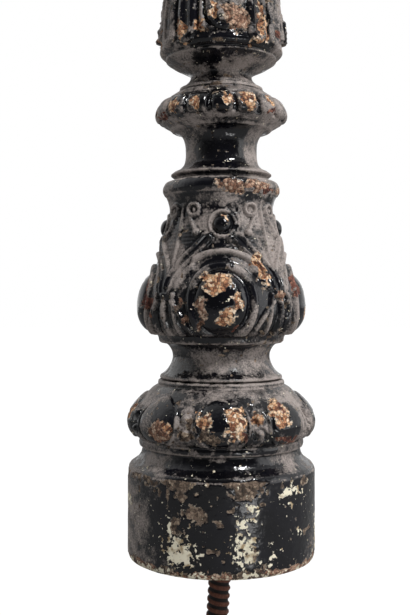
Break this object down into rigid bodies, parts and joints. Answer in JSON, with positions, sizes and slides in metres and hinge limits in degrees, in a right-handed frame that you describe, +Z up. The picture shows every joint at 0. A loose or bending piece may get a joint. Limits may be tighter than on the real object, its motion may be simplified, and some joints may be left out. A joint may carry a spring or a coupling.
{
  "type": "stair baluster",
  "caption": "Cast iron stair baluster: a moulded round base casting with a threaded rod, and an ornamented, reeded column up to a flat rail seat.",
  "frame": {"origin": "middle of the base casting's underside, where the threaded rod leaves it", "axes": "+Z up the baluster's axis, -Y towards the viewer in front of one face of the pear, +X to that viewer's right"},
  "size_m": [0.1076, 0.1076, 0.962],
  "materials": {
    "base_paint": "thick gloss black paint on cast iron, dusty, chipped to old cream paint and rust along the foot",
    "column_paint": "thick gloss black paint on cast iron, dusty, with small chips to orange and red-brown rust",
    "rusty_steel": "bare steel thread, dark red-brown rust"
  },
  "bodies": {
    "root": {"base_casting": "base_paint", "column_casting": "column_paint", "threaded_rod": "rusty_steel"}
  },
  "joints": []
}
